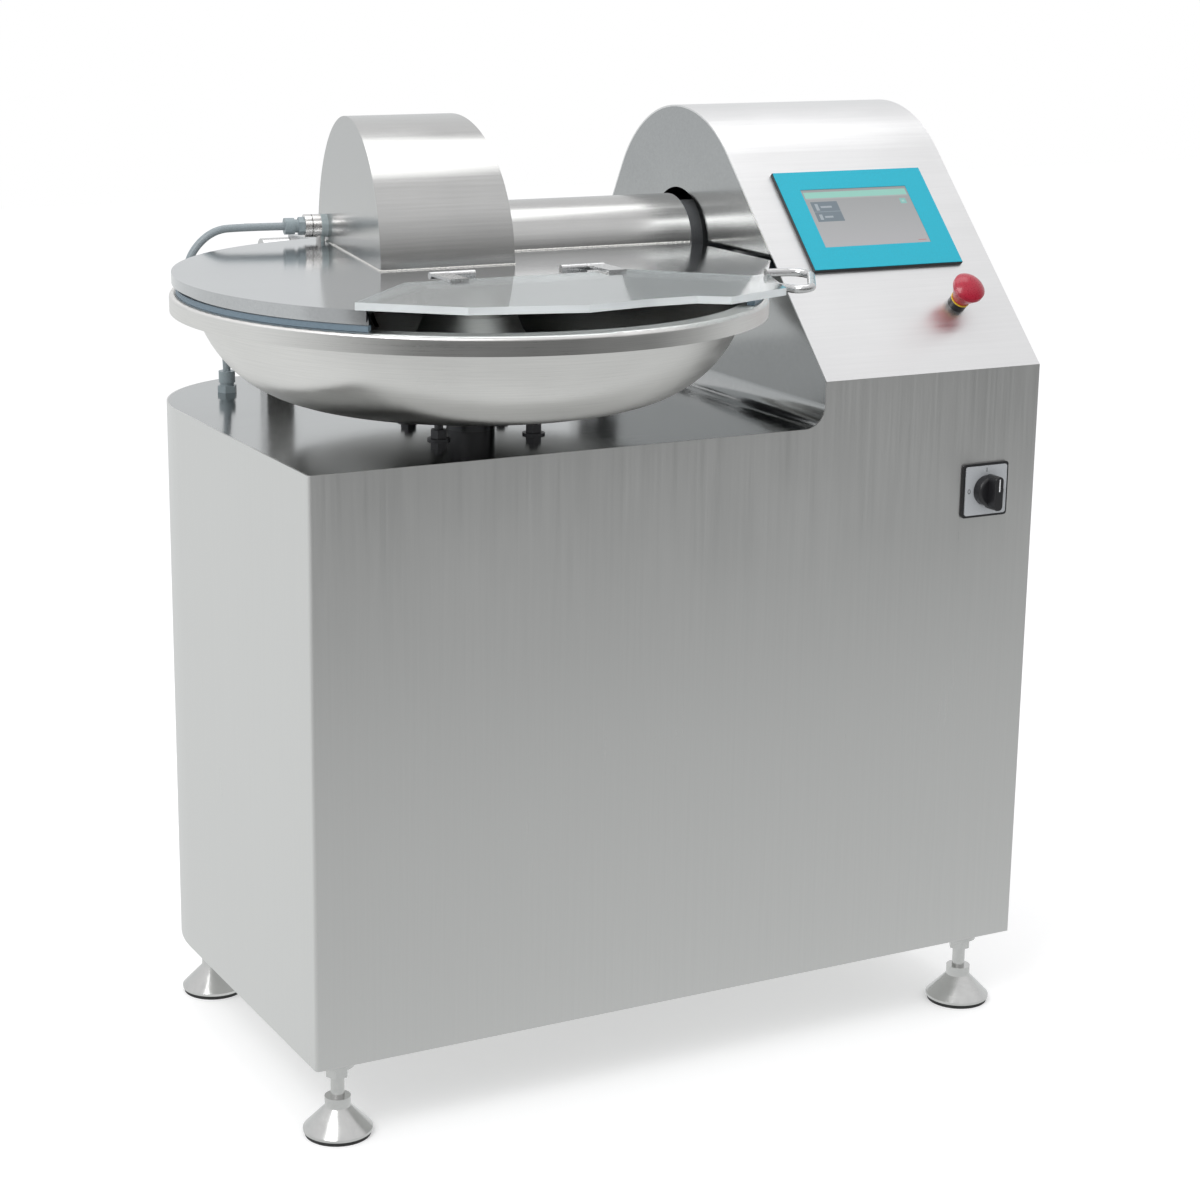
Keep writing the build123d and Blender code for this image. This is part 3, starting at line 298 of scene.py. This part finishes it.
# %% Paint, rubber and plastic
frame_paint = moulded("frame_paint", (0.30, 0.31, 0.32), 0.5, grain=350.0)
motor_paint = moulded("motor_paint", (0.16, 0.23, 0.29), 0.35, grain=250.0, coat=0.2)
casting = moulded("casting", (0.24, 0.25, 0.26), 0.5, grain=500.0, bump=0.35, metallic=0.6)
belt_rubber = moulded("belt_rubber", (0.03, 0.03, 0.03), 0.65)
seal_rubber = moulded("seal_rubber", (0.16, 0.22, 0.27), 0.5, grain=600.0)
pad_rubber = moulded("pad_rubber", (0.02, 0.02, 0.02), 0.6, grain=500.0)
grey_plastic = moulded("grey_plastic", (0.27, 0.32, 0.34), 0.35, grain=700.0)
cable_grey = moulded("cable_grey", (0.27, 0.31, 0.33), 0.36, grain=500.0)
black_plastic = moulded("black_plastic", (0.015, 0.015, 0.017), 0.33, grain=900.0)
dial_plastic = moulded("dial_plastic", (0.50, 0.52, 0.54), 0.35, grain=900.0)
mark_black = moulded("mark_black", (0.03, 0.03, 0.03), 0.4, grain=900.0)
# Painted highlight: this white is the stroke along the switch's grip, standing for the shine on its glossy
# edge.
grip_highlight_white = moulded("grip_highlight_white", (0.80, 0.81, 0.82), 0.35, grain=900.0)
turquoise = moulded("turquoise_plastic", (0.004, 0.42, 0.56), 0.45, grain=1200.0, bump=0.03)
yellow_plastic = moulded("yellow_plastic", (0.72, 0.47, 0.03), 0.35)
red_plastic = moulded("red_plastic", (0.40, 0.004, 0.028), 0.3, grain=600.0, bump=0.05, coat=0.3)
print("plastics ready")

# %% [markdown]
# The touch screen shows a plain picture of flat areas under glass. A flat area is drawn by
# asking, for each point of the surface, how far it is across the glass and up it. Two
# comparisons multiplied together are 1 inside a rectangle and 0 outside.

# %% Screen picture
GLASS_X, GLASS_RISE = 795.5, 229.5
display, display_tree, display_shader = new_material("display")
screen_place = add(display_tree, "ShaderNodeTexCoord").outputs["Object"]
glass_middle = on_slope(GLASS_X, GLASS_RISE, 5)


def along(direction):
    """Distance in millimetres from the glass's middle, in one direction."""
    shifted = add(display_tree, "ShaderNodeVectorMath", operation="SUBTRACT")
    shifted.inputs[1].default_value = tuple(glass_middle)
    display_tree.links.new(screen_place, shifted.inputs[0])
    dot = add(display_tree, "ShaderNodeVectorMath", operation="DOT_PRODUCT")
    dot.inputs[1].default_value = tuple(1000 * v for v in direction)
    display_tree.links.new(shifted.outputs["Vector"], dot.inputs[0])
    return dot.outputs["Value"]


across = along((1, 0, 0))
upward = along((0, math.cos(SLOPE), math.sin(SLOPE)))


def within(source, middle, half):
    """1 where a value is within half of middle, and 0 elsewhere."""
    node = add(display_tree, "ShaderNodeMath", operation="COMPARE")
    node.inputs[1].default_value, node.inputs[2].default_value = middle, half
    display_tree.links.new(source, node.inputs[0])
    return node.outputs["Value"]


def paint(under, colour, x, y, half_width, half_height):
    """A flat rectangle of colour over what is already drawn."""
    inside = add(display_tree, "ShaderNodeMath", operation="MULTIPLY")
    display_tree.links.new(within(across, x, half_width), inside.inputs[0])
    display_tree.links.new(within(upward, y, half_height), inside.inputs[1])
    mix = add(display_tree, "ShaderNodeMix", data_type="RGBA")
    display_tree.links.new(inside.outputs["Value"], mix.inputs["Factor"])
    first, second = colours_of(mix.inputs)
    display_tree.links.new(under, first)
    second.default_value = (*colour, 1)
    return colours_of(mix.outputs)[0]


picture = grey_mix(display_tree, ramp(display_tree, upward, -44, 44, 0, 1), (0.40, 0.40, 0.41),
                   (0.30, 0.31, 0.31))
areas = [((0.27, 0.55, 0.47), 0, 35, 74, 4.5), ((0.36, 0.38, 0.38), 0, 29.6, 74, 0.9),
         ((0.15, 0.19, 0.22), -51, 10, 19, 15), ((0.33, 0.37, 0.40), -63, 17, 2.2, 5),
         ((0.33, 0.37, 0.40), -50, 17, 8, 1.4), ((0.24, 0.28, 0.31), -51, 10, 19, 0.5),
         ((0.33, 0.37, 0.40), -63, 2, 2.2, 4), ((0.33, 0.37, 0.40), -52, 2, 6, 1.4),
         ((0.22, 0.48, 0.44), 64, 21, 4.5, 4), ((0.34, 0.56, 0.52), 64, 21, 2, 1.4),
         ((0.45, 0.24, 0.24), 66, -39, 6, 0.8)]
for colour, x, y, half_width, half_height in areas:
    picture = paint(picture, colour, x, y, half_width, half_height)
display_tree.links.new(picture, display_shader.inputs["Base Color"])
display_shader.inputs["Roughness"].default_value = 0.35
display_shader.inputs["Coat Weight"].default_value = 0.25
display_shader.inputs["Coat Roughness"].default_value = 0.15
print(len(areas), "areas on the screen")

# %% [markdown]
# The flap is clear sheet. Light is lost on its sawn edges, which look white and frosted, so
# the material asks which way each face points: level faces are clear and upright ones white.

# %% Clear sheet
clear, clear_tree, clear_shader = new_material("clear_sheet")
clear_shader.inputs["IOR"].default_value = 1.45
facing = add(clear_tree, "ShaderNodeNewGeometry").outputs["Normal"]
facing_parts = add(clear_tree, "ShaderNodeSeparateXYZ")
clear_tree.links.new(facing, facing_parts.inputs["Vector"])
level = add(clear_tree, "ShaderNodeMath", operation="ABSOLUTE")
clear_tree.links.new(facing_parts.outputs["Z"], level.inputs[0])
wipe = add(clear_tree, "ShaderNodeTexNoise", Scale=9.0, Detail=3.0)
clear_tree.links.new(add(clear_tree, "ShaderNodeTexCoord").outputs["Object"], wipe.inputs["Vector"])
clear_tree.links.new(ramp(clear_tree, level.outputs["Value"], 0.3, 0.7, 0.35, 0.9),
                     clear_shader.inputs["Transmission Weight"])
clear_tree.links.new(ramp(clear_tree, wipe.outputs["Fac"], 0.3, 0.7, 0.02, 0.07),
                     clear_shader.inputs["Roughness"])
clear_tree.links.new(grey_mix(clear_tree, level.outputs["Value"], (0.88, 0.92, 0.93), (0.90, 0.95, 0.95)),
                     clear_shader.inputs["Base Color"])
print("clear sheet ready")

# %% [markdown]
# The sensor's steel body sits on a grey plastic neck and has one turned groove, which is
# painted as a dark band of shade. All three are on one solid, so its material asks how far out of the
# hood's wall each point is.

# %% Sensor body
sensor, sensor_tree, sensor_shader = new_material("sensor_steel")
wall_x = HOOD_LEFT + (SENSOR_Y - HOOD_FRONT) * HOOD_SKEW
outward = Vector((-math.cos(HOOD_TURN), math.sin(HOOD_TURN), 0))
sensor_place = add(sensor_tree, "ShaderNodeTexCoord").outputs["Object"]
from_wall = add(sensor_tree, "ShaderNodeVectorMath", operation="SUBTRACT")
from_wall.inputs[1].default_value = tuple(at(wall_x, SENSOR_Y, SENSOR_Z))
sensor_tree.links.new(sensor_place, from_wall.inputs[0])
distance = add(sensor_tree, "ShaderNodeVectorMath", operation="DOT_PRODUCT")
distance.inputs[1].default_value = tuple(1000 * v for v in outward)
sensor_tree.links.new(from_wall.outputs["Vector"], distance.inputs[0])
steel_part = ramp(sensor_tree, distance.outputs["Value"], 8.0, 8.6, 0, 1)
# The groove is a near-black band of painted shade; the solid has no cut there.
groove = add(sensor_tree, "ShaderNodeMath", operation="COMPARE")
groove.inputs[1].default_value, groove.inputs[2].default_value = 19.0, 0.5
sensor_tree.links.new(distance.outputs["Value"], groove.inputs[0])
body_colour = grey_mix(sensor_tree, steel_part, (0.30, 0.35, 0.36), (0.72, 0.71, 0.70))
groove_shade_mix = add(sensor_tree, "ShaderNodeMix", data_type="RGBA")
sensor_tree.links.new(groove.outputs["Value"], groove_shade_mix.inputs["Factor"])
body_socket, groove_shade_socket = colours_of(groove_shade_mix.inputs)
sensor_tree.links.new(body_colour, body_socket)
groove_shade_socket.default_value = (0.12, 0.12, 0.12, 1)
sensor_tree.links.new(colours_of(groove_shade_mix.outputs)[0], sensor_shader.inputs["Base Color"])
sensor_tree.links.new(steel_part, sensor_shader.inputs["Metallic"])
sensor_grain = add(sensor_tree, "ShaderNodeTexNoise", Scale=300.0, Detail=3.0)
sensor_tree.links.new(sensor_place, sensor_grain.inputs["Vector"])
sensor_tree.links.new(ramp(sensor_tree, sensor_grain.outputs["Fac"], 0.3, 0.7, 0.18, 0.3),
                      sensor_shader.inputs["Roughness"])
print("sensor ready")

# %% [markdown]
# Every solid now gets its finish. Curved faces are shaded smooth, and edges sharper than
# 28 degrees stay crisp.

# %% Finishes
finish = {
    panel: ["cabinet_wrap", "service_panel", "right_panel", "bottom_pan"],
    console: ["console_skin"],
    deck_steel: ["deck"],
    lid_steel: ["lid_plate", "lid_skirt"],
    hood_steel: ["knife_hood", "shaft_cover"],
    bowl_steel: ["bowl", "bowl_spindle"],
    # painted shade: the column and its bolts are painted near black
    column_shade_steel: ["bowl_column", "column_bolts"],
    fitting: ["lid_arms", "lid_brackets", "lid_pins", "flap_straps", "flap_leaves", "flap_pins",
              "flap_handle", "bowl_screws"],
    sensor: ["sensor_socket"],
    cast_feet: ["foot_cones", "foot_spindles", "foot_nuts"],
    blade: ["knife_1", "knife_2", "knife_3", "knife_spacers", "knife_nut", "knife_shaft"],
    frame_paint: ["inner_frame", "motor_shelf"],
    motor_paint: ["knife_motor", "bowl_gearmotor"],
    casting: ["shaft_bracket", "bowl_pulley", "bowl_drive_pulley", "knife_pulley", "motor_pulley"],
    bearing: ["bowl_bearings", "knife_bearings"],
    belt_rubber: ["knife_belts", "bowl_belt"],
    seal_rubber: ["lid_seal"],
    pad_rubber: ["foot_pads"],
    grey_plastic: ["sensor_gland", "deck_gland"],
    cable_grey: ["sensor_cable"],
    black_plastic: ["screen_housing", "stop_collar", "switch_base", "switch_knob"],
    dial_plastic: ["switch_dial"],
    turquoise: ["screen_bezel"],
    display: ["screen_glass"],
    yellow_plastic: ["stop_ring"],
    red_plastic: ["stop_head"],
    clear: ["feed_flap"],
}
for material, names in finish.items():
    for name in names:
        mesh = parts[name].data
        mesh.materials.clear()
        mesh.materials.append(material)
        mesh.polygons.foreach_set("use_smooth", np.ones(len(mesh.polygons), bool))
        mesh.set_sharp_from_angle(angle=math.radians(28))
print(sum(len(names) for names in finish.values()), "solids have a material")

# %% [markdown]
# ## New pieces
#
# A new piece is a round section carried along a line. The section keeps square to the line,
# and its points are worked out all at once as arrays.

# %% Tube along a line
def tube(name, line, radii, material, body, sides=16):
    """A closed round bar along a line of points.

    Point (i, j) is line[i] + radii[i] * (cos(a) * side[i] + sin(a) * over[i]) with
    a = 2 pi j / sides, where side and over are square to the line's direction at i.
    """
    line = np.asarray(line, float)
    ahead = np.gradient(line, axis=0)
    ahead /= np.linalg.norm(ahead, axis=1, keepdims=True)
    steady = np.array((0.0, 1.0, 0.0)) if abs(ahead[:, 1]).max() < 0.9 else np.array((0.0, 0.0, 1.0))
    side = np.cross(ahead, steady)
    side /= np.linalg.norm(side, axis=1, keepdims=True)
    over = np.cross(ahead, side)
    angle = np.linspace(0, 2 * np.pi, sides, endpoint=False)
    ring = np.cos(angle)[None, :, None] * side[:, None] + np.sin(angle)[None, :, None] * over[:, None]
    grid = line[:, None] + np.asarray(radii, float)[:, None, None] * ring
    rows = len(line)
    i, j = np.meshgrid(np.arange(rows - 1), np.arange(sides), indexing="ij")
    here, across_j = i * sides + j, i * sides + (j + 1) % sides
    quads = np.stack((here, here + sides, across_j + sides, across_j), axis=-1).reshape(-1, 4)
    faces = quads.tolist() + [list(range(sides)), list(range(rows * sides - 1, (rows - 1) * sides - 1, -1))]
    mesh = bpy.data.meshes.new(name)
    mesh.from_pydata(grid.reshape(-1, 3).tolist(), [], faces)
    mesh.polygons.foreach_set("use_smooth", np.ones(len(mesh.polygons), bool))
    mesh.set_sharp_from_angle(angle=math.radians(50))
    mesh.materials.append(material)
    piece = bpy.data.objects.new(name, mesh)
    scene.collection.objects.link(piece)
    if body:
        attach(piece, body)
    return piece


print("tube ready")

# %% [markdown]
# The hood and the shaft's half tube are welded to the lid plate. A weld laid by hand is a
# row of overlapping drops, so the bead's radius swells and shrinks along its line.

# %% Weld beads
def weld(name, start, end, size=1.5, drop=3.2):
    """A bead from start to end: radius = size * (0.85 + 0.25 * |sin(pi s / drop)|)."""
    start, end = np.array(at(*start)), np.array(at(*end))
    length = np.linalg.norm(end - start) * 1000
    s = np.linspace(0, length, int(length / drop) * 6)
    line = start + (s / length)[:, None] * (end - start)
    line = line + (0.00018 * np.sin(s * 0.9))[:, None] * np.array((0, 0, 1.0))
    radii = size / 1000 * (0.85 + 0.25 * np.abs(np.sin(np.pi * s / drop)) + 0.05 * np.sin(s * 0.37))
    return tube(name, line, radii, weld_steel, "lid", sides=10)


left_back = HOOD_LEFT + (HOOD_BACK - HOOD_FRONT) * HOOD_SKEW
corners = [("weld_hood_front", (HOOD_LEFT, HOOD_FRONT, LID_TOP), (HOOD_RIGHT, HOOD_FRONT, LID_TOP)),
           ("weld_hood_left", (HOOD_LEFT, HOOD_FRONT, LID_TOP), (left_back, HOOD_BACK, LID_TOP)),
           ("weld_hood_back", (left_back, HOOD_BACK, LID_TOP), (HOOD_RIGHT, HOOD_BACK, LID_TOP)),
           ("weld_hood_right_front", (HOOD_RIGHT, HOOD_FRONT, LID_TOP), (HOOD_RIGHT, COVER_FRONT, LID_TOP)),
           ("weld_hood_right_back", (HOOD_RIGHT, COVER_BACK, LID_TOP), (HOOD_RIGHT, HOOD_BACK, LID_TOP)),
           ("weld_cover_front", (HOOD_RIGHT, COVER_FRONT, LID_TOP), (COVER_RIGHT, COVER_FRONT, LID_TOP)),
           ("weld_cover_back", (HOOD_RIGHT, COVER_BACK, LID_TOP), (COVER_RIGHT, COVER_BACK, LID_TOP))]
beads = [weld(*corner) for corner in corners]
print(len(beads), "weld beads")

# %% [markdown]
# ## The sensor's cable
#
# One smooth line from the gland on the hood to the gland in the deck. The line is a NURBS
# spline, which bends as a stiff cable does. The cable is a tube along it.

# %% Cable
CABLE_RADIUS = 0.0047
cable_exit = at(wall_x + outward.x * GLAND_END, SENSOR_Y + outward.y * GLAND_END, SENSOR_Z)
cable_route = [(119.2, 485.8, 979), (77.6, 489.5, 977.1), (46.5, 494.2, 942.1), (49.9, 497.5, 895.5),
               (97, 497.5, 855.5), (97, 497.5, 804)]
cable_points = [cable_exit] + [at(*point) for point in cable_route]
cable_data = bpy.data.curves.new("cable_line", "CURVE")
cable_data.dimensions = "3D"
cable_data.resolution_u = 16
spline = cable_data.splines.new("NURBS")
spline.points.add(len(cable_points) - 1)
for point, place in zip(spline.points, cable_points):
    point.co = (*place, 1)
spline.order_u = 3
spline.use_endpoint_u = True
cable_line = bpy.data.objects.new("cable_line", cable_data)
line_mesh = bpy.data.meshes.new_from_object(cable_line)
line = np.empty(len(line_mesh.vertices) * 3)
line_mesh.vertices.foreach_get("co", line)
line = line.reshape(-1, 3)
bpy.data.objects.remove(cable_line)
cable = tube("cable", line, np.full(len(line), CABLE_RADIUS), cable_grey, None, sides=24)
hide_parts("sensor_cable")
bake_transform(cable)

# %% [markdown]
# The main switch has two plain numbers on its dial, 0 at the left and 1 at the top, and a
# white stroke along its grip that is a painted highlight on the grip's glossy edge. Each is a thin raised
# stroke.

# %% Dial marks
SWITCH_X, SWITCH_Z = 876.0, 684.0


def stroke(name, points, width, face, body):
    """A raised stroke of that width in millimetres along points (x, z) on the switch's front."""
    line = [at(SWITCH_X + x, -face, SWITCH_Z + z) for x, z in points]
    on_dial = body == "machine"
    material = mark_black if on_dial else grip_highlight_white
    return tube(name, line, np.full(len(line), width / 2000), material, body, sides=8)


round_turn = np.linspace(0, 2 * np.pi, 25)
stroke("dial_zero", [(-25 + 1.7 * math.cos(a), 2.6 * math.sin(a)) for a in round_turn], 0.7, 4.5, "machine")
stroke("dial_one", [(0, 22.5), (0, 25), (0, 27.5)], 0.8, 4.5, "machine")
# The grip's white stroke is a painted highlight on its glossy edge.
stroke("grip_painted_highlight", [(0, 3), (0, 8), (0, 13), (0, 18)], 2.2, 31.2, "switch_handle")
print("dial marked")

# %% [markdown]
# ## Studio
#
# The machine stands on a white floor in front of white. Steel shows what is around it, so
# the floor and the room are brighter to the left, behind and above than in front: that is
# what makes the front panel grey and the console's slope nearly white.

# %% Floor
floor_material, floor_tree, floor_shader = new_material("studio_floor")
floor_shader.inputs["Base Color"].default_value = (0.80, 0.80, 0.80, 1)
floor_shader.inputs["Roughness"].default_value = 0.9
floor_shader.inputs["Specular IOR Level"].default_value = 0.0
floor_place = add(floor_tree, "ShaderNodeTexCoord").outputs["Object"]
floor_parts = add(floor_tree, "ShaderNodeSeparateXYZ")
floor_tree.links.new(floor_place, floor_parts.inputs["Vector"])
ahead = ramp(floor_tree, floor_parts.outputs["Y"], -0.6, 0.1, 0, 1)
far_front = ramp(floor_tree, floor_parts.outputs["Y"], -2.9, -2.1, 0.14, 0.68)
mirror_light = add(floor_tree, "ShaderNodeMix", data_type="FLOAT")
floor_tree.links.new(ahead, mirror_light.inputs["Factor"])
floor_tree.links.new(far_front, mirror_light.inputs["A"])
mirror_light.inputs["B"].default_value = 0.85
mirror = add(floor_tree, "ShaderNodeEmission", Color=(0.98, 1.0, 1.0, 1))
floor_tree.links.new(mirror_light.outputs["Result"], mirror.inputs["Strength"])
glow = add(floor_tree, "ShaderNodeEmission", Color=(1, 1, 1, 1), Strength=0.35)
lit = add(floor_tree, "ShaderNodeAddShader")
floor_tree.links.new(floor_shader.outputs["BSDF"], lit.inputs[0])
floor_tree.links.new(glow.outputs["Emission"], lit.inputs[1])
rays = add(floor_tree, "ShaderNodeLightPath")
seen = add(floor_tree, "ShaderNodeMixShader")
floor_tree.links.new(rays.outputs["Is Camera Ray"], seen.inputs[0])
floor_tree.links.new(floor_shader.outputs["BSDF"], seen.inputs[1])
floor_tree.links.new(lit.outputs["Shader"], seen.inputs[2])
polished = add(floor_tree, "ShaderNodeMixShader")
floor_tree.links.new(rays.outputs["Is Glossy Ray"], polished.inputs[0])
floor_tree.links.new(seen.outputs["Shader"], polished.inputs[1])
floor_tree.links.new(mirror.outputs["Emission"], polished.inputs[2])
floor_out = [n for n in floor_tree.nodes if n.type == "OUTPUT_MATERIAL"][0]
floor_tree.links.new(polished.outputs["Shader"], floor_out.inputs["Surface"])
floor_mesh = bpy.data.meshes.new("studio_floor")
floor_mesh.from_pydata([(-9, -9, 0), (9, -9, 0), (9, 9, 0), (-9, 9, 0)], [], [(0, 1, 2, 3)])
floor_mesh.materials.append(floor_material)
floor = bpy.data.objects.new("studio_floor", floor_mesh)
scene.collection.objects.link(floor)
print("floor laid")

# %% [markdown]
# The room's brightness depends on direction, darker in front and brighter behind and above.
# Two large soft lamps from the left and from above give the edges their gentle shading.

# %% Room and lamps
world = bpy.data.worlds.new("studio")
scene.world = world
world.use_nodes = True
tree = world.node_tree
tree.nodes.clear()
direction = add(tree, "ShaderNodeTexCoord")
split = add(tree, "ShaderNodeSeparateXYZ")
tree.links.new(direction.outputs["Generated"], split.inputs["Vector"])
front_to_back = ramp(tree, split.outputs["Y"], -0.75, 0.25, 0, 1)
level_light = grey_mix(tree, front_to_back, (0.26, 0.26, 0.26), (0.86, 0.88, 0.89))
height_part = ramp(tree, split.outputs["Z"], 0.05, 0.62, 0, 1)
sky_mix = add(tree, "ShaderNodeMix", data_type="RGBA")
tree.links.new(height_part, sky_mix.inputs["Factor"])
around, above = colours_of(sky_mix.inputs)
tree.links.new(level_light, around)
above.default_value = (0.98, 0.98, 0.99, 1)
room = add(tree, "ShaderNodeBackground", Strength=0.9)
tree.links.new(colours_of(sky_mix.outputs)[0], room.inputs["Color"])
white = add(tree, "ShaderNodeBackground", Color=(1, 1, 1, 1), Strength=1.0)
path = add(tree, "ShaderNodeLightPath")
choose = add(tree, "ShaderNodeMixShader")
tree.links.new(path.outputs["Is Camera Ray"], choose.inputs[0])
tree.links.new(room.outputs["Background"], choose.inputs[1])
tree.links.new(white.outputs["Background"], choose.inputs[2])
output = add(tree, "ShaderNodeOutputWorld")
tree.links.new(choose.outputs["Shader"], output.inputs["Surface"])


def softbox(name, place, target, width, height, power):
    """A rectangular lamp aimed at a point."""
    data = bpy.data.lights.new(name, "AREA")
    data.shape = "RECTANGLE"
    data.size, data.size_y, data.energy = width, height, power
    lamp = bpy.data.objects.new(name, data)
    lamp.location = place
    lamp.rotation_euler = (Vector(target) - Vector(place)).to_track_quat("-Z", "Y").to_euler()
    scene.collection.objects.link(lamp)
    return lamp


softbox("key", (-2.4, -1.6, 3.0), (0, 0, 0.6), 1.8, 1.8, 50)
softbox("top", (0.2, 0.4, 3.2), (0, 0, 0.8), 2.2, 1.6, 16)
scene.view_settings.view_transform = "Standard"
print("studio lit")
